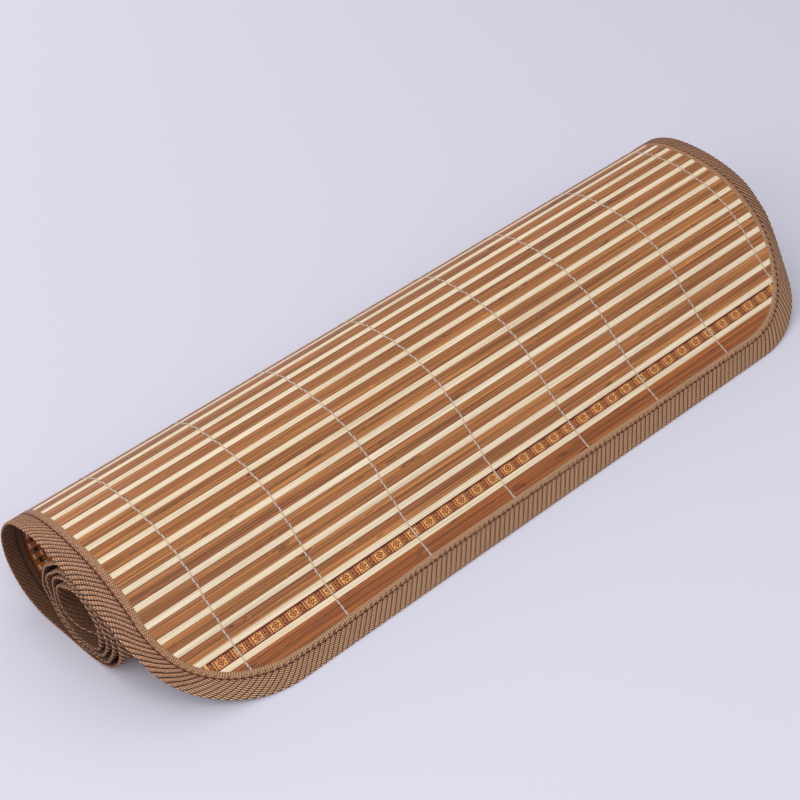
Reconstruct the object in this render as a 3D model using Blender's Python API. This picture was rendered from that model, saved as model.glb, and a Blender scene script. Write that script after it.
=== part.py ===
# Bamboo sleeping mat, loosely rolled, with a sewn tape binding all round.
# Metres, +Z up. X runs along the slats, -Y towards the free end that lies forward on the floor.
import math

import bmesh
import bpy
from mathutils import Vector

MM = 0.001

# Driving sizes, in millimetres.
MAT_WIDTH = 900.0
SLAT_PITCH = 18.55 / 3.0
SLAT_THICKNESS = 2.2
SLAT_GROOVE_WIDTH = 1.0
SLAT_GROOVE_DEPTH = 0.45
PIECE_GAP = 0.3
TAPE_WIDTH = 25.2
TAPE_THICKNESS = 3.0
TAPE_EDGE_THICKNESS = 1.6
HEM_WIDTH = 6.5
SEAM_WIDTH = 1.6
SEAM_DEPTH = 0.5
CORNER_RADIUS = 100.0
FRONT_EDGE_DROP = 0.76
ROLL_SHIFT_X = 2.3
ROLL_SHIFT_Y = -108.9

# The outer turn of the roll, seen from its left end: the free edge, over the top,
# round the back and forward along the floor.
OUTER_TURN = [
    {"y": -43.0, "z": 1.5},
    {"y": -34.0, "z": 4.5},
    {"y": -19.5, "z": 12.6},
    {"y": 14.8, "z": 34.6},
    {"y": 40.7, "z": 62.4},
    {"y": 65.0, "z": 90.0},
    {"y": 94.5, "z": 111.0},
    {"y": 129.5, "z": 122.2},
    {"y": 166.4, "z": 125.6},
    {"y": 203.2, "z": 121.8},
    {"y": 236.0, "z": 104.0},
    {"y": 256.5, "z": 74.0},
    {"y": 257.5, "z": 41.0},
    {"y": 241.0, "z": 15.5},
    {"y": 214.0, "z": 3.0},
    {"y": 190.0, "z": 1.5},
    {"y": 160.0, "z": 1.5},
    {"y": 130.0, "z": 1.5},
]

# The coil inside it: where each turn reaches, and how much nearer the middle the next one lies.
COIL_REACH = {
    "front": {"at_turn": 0.0, "reach": 67.0, "per_turn": 11.0},
    "back": {"at_turn": 0.5, "reach": 188.5, "per_turn": -7.6},
    "top": {"at_turn": 0.25, "reach": 107.5, "per_turn": -8.0},
    "bottom": {"at_turn": -0.25, "reach": 1.5, "per_turn": 4.6},
}
COIL_FIRST_TURN = -0.17
COIL_LAST_TURN = 4.2
COIL_STEPS_PER_TURN = 16

# How far the tape's outer edge sinks below the slats, and how much further out it stands,
# by the distance along the mat from its free edge.
TAPE_FLARE = [
    {"along": 0.0, "left_drop": 0.0, "left_out": 0.0, "right_drop": 0.0},
    {"along": 100.0, "left_drop": 2.0, "left_out": 0.0, "right_drop": 10.0},
    {"along": 135.0, "left_drop": 7.0, "left_out": 2.5, "right_drop": 6.0},
    {"along": 175.0, "left_drop": 10.0, "left_out": 4.6, "right_drop": 3.5},
    {"along": 215.0, "left_drop": 8.0, "left_out": 4.0, "right_drop": 3.0},
    {"along": 270.0, "left_drop": 4.0, "left_out": 2.0, "right_drop": 2.0},
    {"along": 330.0, "left_drop": 0.0, "left_out": 0.0, "right_drop": 0.0},
]

STATION_TURN = math.radians(13.0)
STATION_LENGTH = 20.0
CORNER_STEPS = 16
CURVE_SAMPLES = 24
FRONT_SPANS = 8

BAMBOO_COLOUR = (0.42, 0.23, 0.11, 1.0)
TAPE_COLOUR = (0.30, 0.19, 0.11, 1.0)


def clear_scene():
    for item in list(bpy.data.objects):
        bpy.data.objects.remove(item, do_unlink=True)


def reach_at(side, turn):
    row = COIL_REACH[side]
    return row["reach"] + row["per_turn"] * (turn - row["at_turn"])


def coil_point(turn):
    front = reach_at("front", turn)
    back = reach_at("back", turn)
    top = reach_at("top", turn)
    bottom = reach_at("bottom", turn)
    angle = 2.0 * math.pi * turn
    y = 0.5 * (front + back) - 0.5 * (back - front) * math.cos(angle)
    z = 0.5 * (top + bottom) + 0.5 * (top - bottom) * math.sin(angle)
    return Vector((y, z))


def knot_points():
    knots = [Vector((row["y"], row["z"])) for row in OUTER_TURN]
    steps = round((COIL_LAST_TURN - COIL_FIRST_TURN) * COIL_STEPS_PER_TURN)
    for i in range(steps + 1):
        share = i / steps
        knots.append(coil_point(COIL_FIRST_TURN + share * (COIL_LAST_TURN - COIL_FIRST_TURN)))
    return knots


def curve_through(knots):
    """A smooth curve through the knots: centripetal Catmull-Rom spans."""
    first = 2.0 * knots[0] - knots[1]
    last = 2.0 * knots[-1] - knots[-2]
    points = [first] + knots + [last]
    curve = []
    for i in range(1, len(points) - 2):
        p0, p1, p2, p3 = points[i - 1:i + 3]
        d1 = math.sqrt((p1 - p0).length)
        d2 = math.sqrt((p2 - p1).length)
        d3 = math.sqrt((p3 - p2).length)
        m1 = ((p1 - p0) / d1 - (p2 - p0) / (d1 + d2)) * d2 + (p2 - p1)
        m2 = ((p3 - p2) / d3 - (p3 - p1) / (d2 + d3)) * d2 + (p2 - p1)
        for k in range(CURVE_SAMPLES):
            t = k / CURVE_SAMPLES
            t2 = t * t
            t3 = t2 * t
            curve.append(
                (2 * t3 - 3 * t2 + 1) * p1 + (t3 - 2 * t2 + t) * m1
                + (3 * t2 - 2 * t3) * p2 + (t3 - t2) * m2
            )
    curve.append(knots[-1].copy())
    return curve


def rest_on_floor(curve):
    """The floor holds the mat up by half the tape's thickness."""
    lowest = 0.5 * TAPE_THICKNESS
    return [Vector((point.x, max(point.y, lowest))) for point in curve]


class RollPath:
    """The middle of the mat's thickness, as a curve in the Y-Z plane read by distance."""

    def __init__(self, curve):
        self.points = curve
        self.along = [0.0]
        for a, b in zip(curve, curve[1:]):
            self.along.append(self.along[-1] + (b - a).length)
        self.length = self.along[-1]
        self.last = 0

    def span(self, distance):
        i = self.last
        while i > 0 and self.along[i] > distance:
            i -= 1
        while i < len(self.points) - 2 and self.along[i + 1] < distance:
            i += 1
        self.last = i
        return i

    def point(self, distance):
        i = self.span(distance)
        share = (distance - self.along[i]) / (self.along[i + 1] - self.along[i])
        return self.points[i].lerp(self.points[i + 1], share)

    def normal(self, distance):
        """Towards the face that shows on top."""
        step = 0.5
        ahead = self.point(min(distance + step, self.length))
        behind = self.point(max(distance - step, 0.0))
        direction = (ahead - behind).normalized()
        return Vector((-direction.y, direction.x))

    def heading(self, distance):
        normal = self.normal(distance)
        return math.atan2(-normal.x, normal.y)


def to_world(x, point):
    return Vector((x + ROLL_SHIFT_X, point.x + ROLL_SHIFT_Y, point.y)) * MM


def panel_half_width(from_edge):
    """Half the panel's width at a distance from its nearer end, with rounded corners."""
    half = 0.5 * MAT_WIDTH - TAPE_WIDTH - PIECE_GAP
    if from_edge >= CORNER_RADIUS:
        return half
    inset = CORNER_RADIUS - from_edge
    return half - CORNER_RADIUS + math.sqrt(CORNER_RADIUS ** 2 - inset ** 2)


def slat_edges(path):
    """Distances of the grooves between slats, with whole slats from end to end."""
    start = TAPE_WIDTH + PIECE_GAP
    stop = path.length - TAPE_WIDTH - PIECE_GAP
    count = round((stop - start) / SLAT_PITCH)
    return [start + (stop - start) * i / count for i in range(count + 1)]


def face_profile(path, edges, side):
    """Points of one face of the cloth: flat slats with a small groove between them."""
    joints = [path.point(edge) for edge in edges]
    half = 0.5 * SLAT_THICKNESS * side
    deep = half - SLAT_GROOVE_DEPTH * side
    profile = []
    for i, edge in enumerate(edges):
        profile.append((edge, joints[i] + path.normal(edge) * deep))
        if i + 1 == len(edges):
            break
        chord = joints[i + 1] - joints[i]
        across = Vector((-chord.y, chord.x)).normalized()
        bevel = 0.5 * SLAT_GROOVE_WIDTH / chord.length
        width = edges[i + 1] - edge
        for share in (bevel, 1.0 - bevel):
            profile.append((edge + share * width, joints[i].lerp(joints[i + 1], share) + across * half))
    return profile


def build_panel(path):
    edges = slat_edges(path)
    upper = face_profile(path, edges, 1.0)
    lower = face_profile(path, edges, -1.0)
    mesh = bmesh.new()
    rows = []
    for (distance, top), (_, base) in zip(upper, lower):
        from_edge = min(distance - edges[0], edges[-1] - distance)
        half = panel_half_width(from_edge)
        rows.append([
            mesh.verts.new(to_world(-half, top)),
            mesh.verts.new(to_world(half, top)),
            mesh.verts.new(to_world(half, base)),
            mesh.verts.new(to_world(-half, base)),
        ])
    for row, after in zip(rows, rows[1:]):
        for i in range(4):
            k = (i + 1) % 4
            mesh.faces.new((row[i], row[k], after[k], after[i]))
    mesh.faces.new(rows[0])
    mesh.faces.new(rows[-1])
    return finish_mesh(mesh, "slat_cloth", "bamboo", BAMBOO_COLOUR, 0.45)


def side_stations(path, start, stop):
    """Distances along a side of the mat, closer together where it bends."""
    stations = [start]
    step = 2.0
    here = start
    turned = 0.0
    while here + step < stop:
        change = path.heading(here + step) - path.heading(here)
        turned += abs((change + math.pi) % (2.0 * math.pi) - math.pi)
        here += step
        if turned >= STATION_TURN or here - stations[-1] >= STATION_LENGTH:
            stations.append(here)
            turned = 0.0
    if stop - stations[-1] < 4.0 * step:
        stations.pop()
    stations.append(stop)
    return stations


def binding_outline(path):
    """Stations round the inner edge of the tape: x, distance, and the way outwards."""
    half = 0.5 * MAT_WIDTH - TAPE_WIDTH
    near = TAPE_WIDTH
    far = path.length - TAPE_WIDTH
    radius = CORNER_RADIUS + PIECE_GAP
    sides = side_stations(path, near + radius, far - radius)
    outline = []

    def add_corner(x, distance, first_angle):
        for i in range(1, CORNER_STEPS):
            angle = first_angle + 0.5 * math.pi * i / CORNER_STEPS
            way = (math.cos(angle), math.sin(angle))
            outline.append((x + radius * way[0], distance + radius * way[1], way))

    for distance in sides:
        outline.append((half, distance, (1.0, 0.0)))
    add_corner(half - radius, far - radius, 0.0)
    outline.append((half - radius, far, (0.0, 1.0)))
    outline.append((radius - half, far, (0.0, 1.0)))
    add_corner(radius - half, far - radius, 0.5 * math.pi)
    for distance in reversed(sides):
        outline.append((-half, distance, (-1.0, 0.0)))
    add_corner(radius - half, near + radius, math.pi)
    for i in range(FRONT_SPANS + 1):
        share = i / FRONT_SPANS
        outline.append(((radius - half) * (1.0 - 2.0 * share), near, (0.0, -1.0)))
    add_corner(half - radius, near + radius, 1.5 * math.pi)
    return outline


def read_table(rows, column, along):
    for row, after in zip(rows, rows[1:]):
        if along <= after["along"]:
            share = max(0.0, (along - row["along"]) / (after["along"] - row["along"]))
            share = share * share * (3.0 - 2.0 * share)
            return row[column] + share * (after[column] - row[column])
    return rows[-1][column]


def tape_section():
    """Offsets across the tape and its thickness there: hem, sewn seam, outer band."""
    half = 0.5 * TAPE_THICKNESS
    seam = HEM_WIDTH + 0.5 * SEAM_WIDTH
    return [
        (0.0, 0.5 * SLAT_THICKNESS),
        (1.2, half),
        (HEM_WIDTH, half),
        (seam, half - SEAM_DEPTH),
        (HEM_WIDTH + SEAM_WIDTH, half),
        (0.9 * TAPE_WIDTH, half),
        (TAPE_WIDTH, 0.5 * TAPE_EDGE_THICKNESS),
    ]


def build_binding(path):
    outline = binding_outline(path)
    section = tape_section()
    ring = [(offset, half) for offset, half in section]
    ring += [(offset, -half) for offset, half in reversed(section)]
    mesh = bmesh.new()
    loops = []
    for x, distance, way in outline:
        left = way[0] < 0.0
        drop_name = "left_drop" if left else "right_drop"
        drop = read_table(TAPE_FLARE, drop_name, distance) * abs(way[0])
        drop += FRONT_EDGE_DROP * max(0.0, -way[1]) if distance < 0.5 * path.length else 0.0
        out = read_table(TAPE_FLARE, "left_out", distance) * abs(way[0]) if left else 0.0
        loop = []
        for offset, height in ring:
            share = offset / TAPE_WIDTH
            reach = offset + out * share
            along = min(max(distance + way[1] * reach, 0.0), path.length)
            sink = drop * share * share
            point = path.point(along) + path.normal(along) * (height - sink)
            loop.append(mesh.verts.new(to_world(x + way[0] * reach, point)))
        loops.append(loop)
    size = len(ring)
    for i, loop in enumerate(loops):
        after = loops[(i + 1) % len(loops)]
        for k in range(size):
            j = (k + 1) % size
            mesh.faces.new((loop[k], loop[j], after[j], after[k]))
    return finish_mesh(mesh, "edge_binding", "binding_tape", TAPE_COLOUR, 0.85)


def finish_mesh(mesh, name, material_name, colour, roughness):
    bmesh.ops.recalc_face_normals(mesh, faces=mesh.faces)
    data = bpy.data.meshes.new(name)
    mesh.to_mesh(data)
    mesh.free()
    material = bpy.data.materials.new(material_name)
    material.use_nodes = True
    shader = material.node_tree.nodes["Principled BSDF"]
    shader.inputs["Base Color"].default_value = colour
    shader.inputs["Roughness"].default_value = roughness
    shader.inputs["Metallic"].default_value = 0.0
    data.materials.append(material)
    item = bpy.data.objects.new(name, data)
    bpy.context.scene.collection.objects.link(item)
    return item


def main():
    clear_scene()
    path = RollPath(rest_on_floor(curve_through(knot_points())))
    panel = build_panel(path)
    binding = build_binding(path)
    print("mat length", round(path.length, 1), "mm, slats", len(slat_edges(path)) - 1)
    for item in (panel, binding):
        triangles = sum(len(face.vertices) - 2 for face in item.data.polygons)
        print(item.name, triangles, "triangles")


main()
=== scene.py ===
import math
import bpy
import numpy as np
from mathutils import Matrix, Vector


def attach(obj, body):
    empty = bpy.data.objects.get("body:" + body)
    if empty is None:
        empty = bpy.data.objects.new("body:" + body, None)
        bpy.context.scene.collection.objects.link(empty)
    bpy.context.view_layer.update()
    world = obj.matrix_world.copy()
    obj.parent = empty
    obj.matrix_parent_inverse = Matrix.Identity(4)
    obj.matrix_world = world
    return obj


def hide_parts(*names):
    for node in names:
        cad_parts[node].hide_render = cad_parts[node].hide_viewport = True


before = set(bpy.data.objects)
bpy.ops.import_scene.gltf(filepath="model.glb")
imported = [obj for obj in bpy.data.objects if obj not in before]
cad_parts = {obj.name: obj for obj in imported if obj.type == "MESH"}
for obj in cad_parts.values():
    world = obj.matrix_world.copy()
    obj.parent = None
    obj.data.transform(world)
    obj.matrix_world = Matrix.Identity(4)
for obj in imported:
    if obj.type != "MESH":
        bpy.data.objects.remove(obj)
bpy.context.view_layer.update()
mm = 0.001

# Bamboo mat, loosely rolled: straight slats woven together with thread, and a ribbed tape sewn round them.
# Sizes below are in millimetres. "Along" is the distance along the mat from its free edge.
matSizes = {
    "width": 900.0,
    "slatPitch": 18.55 / 3.0,
    "slatThickness": 2.2,
    "pieceGap": 0.3,
    "tapeWidth": 25.2,
    "tapeThickness": 3.0,
    "cornerRadius": 100.0,
    "frontDrop": 0.76,
    "shiftX": 2.3,
    "shiftY": -108.9,
}

# the outer turn seen from the left end (y, z): free edge, over the top, round the back, along the floor
outerTurn = (
    (-43.0, 1.5), (-34.0, 4.5), (-19.5, 12.6), (14.8, 34.6), (40.7, 62.4), (65.0, 90.0),
    (94.5, 111.0), (129.5, 122.2), (166.4, 125.6), (203.2, 121.8), (236.0, 104.0), (256.5, 74.0),
    (257.5, 41.0), (241.0, 15.5), (214.0, 3.0), (190.0, 1.5), (160.0, 1.5), (130.0, 1.5),
)

# the coil inside it: the turn it is measured at, its reach there, and the change with each turn
coilReach = {
    "front": (0.0, 67.0, 11.0),
    "back": (0.5, 188.5, -7.6),
    "top": (0.25, 107.5, -8.0),
    "bottom": (-0.25, 1.5, 4.6),
}
coilTurns = {"first": -0.17, "last": 4.2, "stepsPerTurn": 16}

# how far the tape's outer edge sinks and stands out: along, left drop, left out, right drop
tapeFlare = np.array((
    (0.0, 0.0, 0.0, 0.0),
    (100.0, 2.0, 0.0, 10.0),
    (135.0, 7.0, 2.5, 6.0),
    (175.0, 10.0, 4.6, 3.5),
    (215.0, 8.0, 4.0, 3.0),
    (270.0, 4.0, 2.0, 2.0),
    (330.0, 0.0, 0.0, 0.0),
))


def coilKnots():
    turns = np.linspace(coilTurns["first"], coilTurns["last"],
                        round((coilTurns["last"] - coilTurns["first"]) * coilTurns["stepsPerTurn"]) + 1)
    reach = {side: row[1] + row[2] * (turns - row[0]) for side, row in coilReach.items()}
    angle = 2.0 * math.pi * turns
    y = 0.5 * (reach["front"] + reach["back"]) - 0.5 * (reach["back"] - reach["front"]) * np.cos(angle)
    z = 0.5 * (reach["top"] + reach["bottom"]) + 0.5 * (reach["top"] - reach["bottom"]) * np.sin(angle)
    return np.stack([y, z], axis=1)


def curveThrough(knots, samples=24):  # centripetal Catmull-Rom spans
    points = np.vstack([2.0 * knots[0] - knots[1], knots, 2.0 * knots[-1] - knots[-2]])
    share = (np.arange(samples) / samples)[:, None]
    curve = []
    for p0, p1, p2, p3 in zip(points, points[1:], points[2:], points[3:]):
        d1, d2, d3 = (math.sqrt(np.linalg.norm(step)) for step in (p1 - p0, p2 - p1, p3 - p2))
        m1 = ((p1 - p0) / d1 - (p2 - p0) / (d1 + d2)) * d2 + (p2 - p1)
        m2 = ((p3 - p2) / d3 - (p3 - p1) / (d2 + d3)) * d2 + (p2 - p1)
        curve.append((2 * share ** 3 - 3 * share ** 2 + 1) * p1 + (share ** 3 - 2 * share ** 2 + share) * m1
                     + (3 * share ** 2 - 2 * share ** 3) * p2 + (share ** 3 - share ** 2) * m2)
    return np.vstack(curve + [knots[-1:]])


rollCurve = curveThrough(np.vstack([outerTurn, coilKnots()]))
rollCurve[:, 1] = np.maximum(rollCurve[:, 1], 0.5 * matSizes["tapeThickness"])  # the floor carries it
rollAlong = np.concatenate([[0.0], np.cumsum(np.linalg.norm(np.diff(rollCurve, axis=0), axis=1))])
matLength = rollAlong[-1]


def rollPoint(along):
    return np.stack([np.interp(along, rollAlong, rollCurve[:, k]) for k in range(2)], axis=-1)


def rollNormal(along):  # towards the face that shows on top
    ahead = rollPoint(np.minimum(along + 0.5, matLength)) - rollPoint(np.maximum(along - 0.5, 0.0))
    ahead = ahead / np.linalg.norm(ahead, axis=-1, keepdims=True)
    return np.stack([-ahead[..., 1], ahead[..., 0]], axis=-1)


def toWorld(x, section):
    y = section[..., 0] + matSizes["shiftY"]
    return np.stack([x + matSizes["shiftX"], y, section[..., 1]], axis=-1) * mm


# Geometry Nodes and mesh helpers

def newTree(name, sizes):
    tree = bpy.data.node_groups.new(name, "GeometryNodeTree")
    tree.interface.new_socket(name="Geometry", in_out="INPUT", socket_type="NodeSocketGeometry")
    for label, value in sizes.items():
        kind = "NodeSocketInt" if isinstance(value, int) else "NodeSocketFloat"
        tree.interface.new_socket(name=label, in_out="INPUT", socket_type=kind)
    tree.interface.new_socket(name="Geometry", in_out="OUTPUT", socket_type="NodeSocketGeometry")
    return tree, tree.nodes.new("NodeGroupInput"), tree.nodes.new("NodeGroupOutput")


def addNode(tree, kind, settings=None, **inputs):
    node = tree.nodes.new(kind)
    for key, value in (settings or {}).items():
        setattr(node, key, value)
    for key, value in inputs.items():
        index = int(key[2:]) if key.startswith("at") else key
        if isinstance(value, bpy.types.NodeSocket):
            tree.links.new(value, node.inputs[index])
        else:
            node.inputs[index].default_value = value
    return node


def readStored(tree, kind, name):  # a stored value, for a geometry tree
    return addNode(tree, "GeometryNodeInputNamedAttribute", {"data_type": kind}, Name=name).outputs[0]


def addRow(tree, given, count, step):  # points in a row along x
    apart = addNode(tree, "ShaderNodeCombineXYZ", X=given.outputs[step]).outputs[0]
    return addNode(tree, "GeometryNodeMeshLine", Count=given.outputs[count], Offset=apart).outputs[0]


def closeTree(tree, result, last, material):  # real geometry, with its material
    real = addNode(tree, "GeometryNodeRealizeInstances", at0=last.outputs[0])
    paint = addNode(tree, "GeometryNodeSetMaterial", Geometry=real.outputs[0], Material=material)
    tree.links.new(paint.outputs[0], result.inputs[0])
    return paint


def runTree(tree, mesh, sizes, name):  # the tree's result as a plain mesh
    holder = bpy.data.objects.new(name + "Source", mesh)
    bpy.context.scene.collection.objects.link(holder)
    modifier = holder.modifiers.new("tree", "NODES")
    modifier.node_group = tree
    for item in tree.interface.items_tree:
        if item.in_out == "INPUT" and item.name in sizes:
            modifier[item.identifier] = sizes[item.name]
    evaluated = holder.evaluated_get(bpy.context.evaluated_depsgraph_get())
    made = bpy.data.meshes.new_from_object(evaluated)
    holder.modifiers.remove(modifier)
    bpy.data.objects.remove(holder)
    made.name = name
    return made


def meshFrom(name, points, faces=(), edges=()):
    mesh = bpy.data.meshes.new(name)
    mesh.from_pydata(np.asarray(points).tolist(), list(edges), [list(face) for face in faces])
    mesh.update()
    return mesh


def readPoints(mesh):
    points = np.zeros(len(mesh.vertices) * 3)
    mesh.vertices.foreach_get("co", points)
    return points.reshape(-1, 3)


def writePoints(mesh, points):
    mesh.vertices.foreach_set("co", points.astype(np.float32).ravel())
    mesh.update()


def addAttribute(mesh, name, kind, values, domain="POINT"):
    field = "vector" if kind in ("FLOAT_VECTOR", "FLOAT2") else "value"
    mesh.attributes.new(name, kind, domain).data.foreach_set(field, np.asarray(values).ravel())


def addPiece(name, mesh, node=None, smooth=False):
    if smooth:
        mesh.shade_smooth()
    else:
        mesh.shade_flat()
    piece = bpy.data.objects.new(name, mesh)
    bpy.context.scene.collection.objects.link(piece)
    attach(piece, "root")
    if node:
        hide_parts(node)
    print(name, len(mesh.polygons), "faces")
    return piece


# Materials

def tint(red, green, blue):  # a colour as the eye sees it, 0 to 255, as the shader wants it
    return tuple(((c / 255.0 + 0.055) / 1.055) ** 2.4 for c in (red, green, blue)) + (1.0,)


def newMaterial(name, roughness):
    material = bpy.data.materials.new(name)
    material.use_nodes = True
    shader = material.node_tree.nodes["Principled BSDF"]
    shader.inputs["Roughness"].default_value = roughness
    return material, material.node_tree, shader


def addRamp(tree, factor, *stops):
    ramp = addNode(tree, "ShaderNodeValToRGB", at0=factor)
    points = ramp.color_ramp.elements
    while len(points) < len(stops):
        points.new(0.5)
    for point, (place, colour) in zip(points, stops):
        point.position = place
        point.color = colour
    return ramp.outputs["Color"]


def addMath(tree, operation, *values):
    inputs = {"at%d" % k: value for k, value in enumerate(values)}
    return addNode(tree, "ShaderNodeMath", {"operation": operation}, **inputs).outputs[0]


def addMix(tree, factor, first, second, blend="MIX"):
    mix = addNode(tree, "ShaderNodeMix", {"data_type": "RGBA", "blend_type": blend})
    for socket, value in zip((mix.inputs[0], mix.inputs[6], mix.inputs[7]), (factor, first, second)):
        if isinstance(value, bpy.types.NodeSocket):
            tree.links.new(value, socket)
        else:
            socket.default_value = value
    return mix.outputs[2]


def addLinear(tree, value, factor, shift):
    return addMath(tree, "MULTIPLY_ADD", value, factor, shift)


def addProduct(tree, first, *others):
    for other in others:
        first = addMath(tree, "MULTIPLY", first, other)
    return first


def addWave(tree, value, period, shift=0.0):
    return addMath(tree, "SINE", addLinear(tree, value, 2.0 * math.pi / period, shift))


def addStep(tree, value, low, high):  # from 0 up to 1
    return addRamp(tree, value, (low, (0, 0, 0, 1)), (high, (1, 1, 1, 1)))


def addNoise(tree, vector, scale, detail=3.0):
    noise = addNode(tree, "ShaderNodeTexNoise", Vector=vector, Scale=scale, Detail=detail, Roughness=0.55)
    return noise.outputs[0]


def readFactor(tree, name):  # a stored number, for a material
    return addNode(tree, "ShaderNodeAttribute", {"attribute_name": name}).outputs["Fac"]


def objectPlace(tree):
    return addNode(tree, "ShaderNodeTexCoord").outputs["Object"]


def weavePlace(tree):  # the place on the flat tape, and its two parts
    weave = addNode(tree, "ShaderNodeUVMap", {"uv_map": "weave"}).outputs[0]
    split = addNode(tree, "ShaderNodeSeparateXYZ", at0=weave)
    return weave, split.outputs[0], split.outputs[1]


def addBump(tree, shader, height, distance, strength=1.0):
    bump = addNode(tree, "ShaderNodeBump", Height=height, Distance=distance, Strength=strength)
    tree.links.new(bump.outputs[0], shader.inputs["Normal"])


bambooFinish = {
    "grainAlong": 7.0,  # noise cells per metre along a slat, and across it
    "grainAcross": 1050.0,
    "streakAlong": 4.0,
    "streakAcross": 330.0,
    "knotAlong": 26.0,
    "knotAcross": 120.0,
    "scratchAlong": 75.0,
    "scratchAcross": 1700.0,
    "toneShift": 37.0,  # moves each slat to its own part of the grain
    "roughness": 0.5,
}


def bambooMaterial(name, light, dark, streak, grainDepth, streakAmount, knotAmount):
    material, tree, shader = newMaterial(name, bambooFinish["roughness"])
    place = objectPlace(tree)
    tone = readFactor(tree, "slatTone")
    apart = addProduct(tree, tone, bambooFinish["toneShift"])
    shift = addNode(tree, "ShaderNodeCombineXYZ", X=apart).outputs[0]
    moved = addNode(tree, "ShaderNodeVectorMath", {"operation": "ADD"}, at0=place, at1=shift).outputs[0]

    def stretchedNoise(kind, detail):
        along, across = bambooFinish[kind + "Along"], bambooFinish[kind + "Across"]
        vector = addNode(tree, "ShaderNodeMapping", Vector=moved, Scale=(along, across, across)).outputs[0]
        return addNoise(tree, vector, 1.0, detail)

    grain = stretchedNoise("grain", 2.0)
    colour = addRamp(tree, tone, (0.0, dark), (1.0, light))
    shade = (grainDepth, grainDepth * 0.96, grainDepth * 0.92, 1.0)
    bright = (1.15, 1.15, 1.15, 1.0)
    colour = addMix(tree, 1.0, colour, addRamp(tree, grain, (0.4, shade), (0.58, bright)), "MULTIPLY")
    streaks = addStep(tree, stretchedNoise("streak", 4.0), 0.45, 0.68)
    colour = addMix(tree, addProduct(tree, streaks, streakAmount), colour, streak)
    knots = stretchedNoise("knot", 1.5)
    scratches = addStep(tree, stretchedNoise("scratch", 2.0), 0.4, 0.55)
    eye = addStep(tree, knots, 0.655, 0.72)
    colour = addMix(tree, addProduct(tree, eye, scratches, knotAmount), colour, streak)
    rim = addRamp(tree, knots, (0.635, (0, 0, 0, 1)), (0.65, (1, 1, 1, 1)), (0.665, (0, 0, 0, 1)))
    pale = tuple(1.5 * c for c in light[:3]) + (1.0,)
    colour = addMix(tree, addProduct(tree, rim, scratches, 0.5 * knotAmount), colour, pale)
    tree.links.new(colour, shader.inputs["Base Color"])
    addBump(tree, shader, grain, 0.00015, 0.6)
    return material


brownBamboo = bambooMaterial("brownBamboo", tint(190, 124, 64), tint(156, 92, 42), tint(98, 46, 16),
                             0.52, 0.5, 0.95)
warmBamboo = bambooMaterial("warmBamboo", tint(164, 92, 34), tint(144, 76, 26), tint(84, 34, 8),
                            0.52, 0.5, 0.95)
creamBamboo = bambooMaterial("creamBamboo", tint(230, 213, 183), tint(223, 203, 170), tint(204, 174, 130),
                             0.88, 0.22, 0.35)
tanBamboo = bambooMaterial("tanBamboo", tint(220, 162, 86), tint(216, 156, 80), tint(184, 116, 50),
                           0.9, 0.25, 0.2)
# the slats' backs: partly their own colour, partly painted warm bounce light from the shaded inside of the
# roll, so a more saturated orange than the fronts
backBambooWarmShade = bambooMaterial("backBambooWarmShade", tint(192, 108, 44), tint(152, 74, 26), tint(80, 34, 10),
                            0.66, 0.6, 0.7)


def plainMaterial(name, colour, roughness):
    material, tree, shader = newMaterial(name, roughness)
    dark = tuple(c * 0.72 for c in colour[:3]) + (1.0,)
    mottle = addRamp(tree, addNoise(tree, objectPlace(tree), 900.0), (0.3, dark), (0.65, colour))
    tree.links.new(mottle, shader.inputs["Base Color"])
    return material


printInk = plainMaterial("printInk", tint(116, 38, 14), 0.55)
motifInk = plainMaterial("motifInk", tint(150, 72, 28), 0.55)
groundInk = plainMaterial("groundInk", tint(206, 132, 62), 0.55)
stitchThread = plainMaterial("stitchThread", tint(108, 32, 14), 0.85)
underThread = plainMaterial("underThread", tint(56, 32, 22), 0.7)

# Slats, cut to the rounded corners of the tape

slatSizes = {
    "thickness": matSizes["slatThickness"],
    "widthGap": 0.16,
    "edgeRound": 0.24,
    "buried": 4.0,  # how far slat ends reach into the folded tape
    "printedSlat": 4,  # this slat and the next are one wide printed slat
    "creamFrom": 3,
    "creamEvery": 3,
    "warmSlats": 3,
    "segments": 9,
    "wobble": 0.22,
    "bendNoise": (3.0, 140.0, 140.0),  # noise cells per metre that bend a slat
    "seed": 4,
}


def slatEdges():
    start = matSizes["tapeWidth"] + matSizes["pieceGap"]
    stop = matLength - start
    count = round((stop - start) / matSizes["slatPitch"])
    return np.linspace(start, stop, count + 1)


def slatHalfLength(near, far):  # distances of the slat's two edges from the nearer end of the cloth
    radius = matSizes["cornerRadius"]
    straight = 0.5 * matSizes["width"] - matSizes["tapeWidth"] - matSizes["pieceGap"]
    if near >= radius:
        return straight + slatSizes["buried"]
    reach = math.sqrt((radius + slatSizes["buried"]) ** 2 - max(radius - far, 0.0) ** 2)
    seam = math.sqrt((radius + slatSizes["buried"] + 2.0) ** 2 - (radius - near) ** 2)
    return straight - radius + min(reach, seam)


def slatTable():  # one row a slat: first edge, last edge, half length, finish, tone
    edges = slatEdges()
    dice = np.random.default_rng(slatSizes["seed"])
    rows = []
    k = 0
    while k < len(edges) - 1:
        printed = k == slatSizes["printedSlat"]
        last = k + 2 if printed else k + 1
        cream = k >= slatSizes["creamFrom"] and k % slatSizes["creamEvery"] == 0
        finish = 3 if printed else 1 if cream else 2 if k < slatSizes["warmSlats"] else 0
        ends = sorted((min(edges[k] - edges[0], edges[-1] - edges[k]),
                       min(edges[last] - edges[0], edges[-1] - edges[last])))
        rows.append((edges[k], edges[last], slatHalfLength(*ends), finish, dice.random()))
        k = last
    return np.array(rows)


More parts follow.
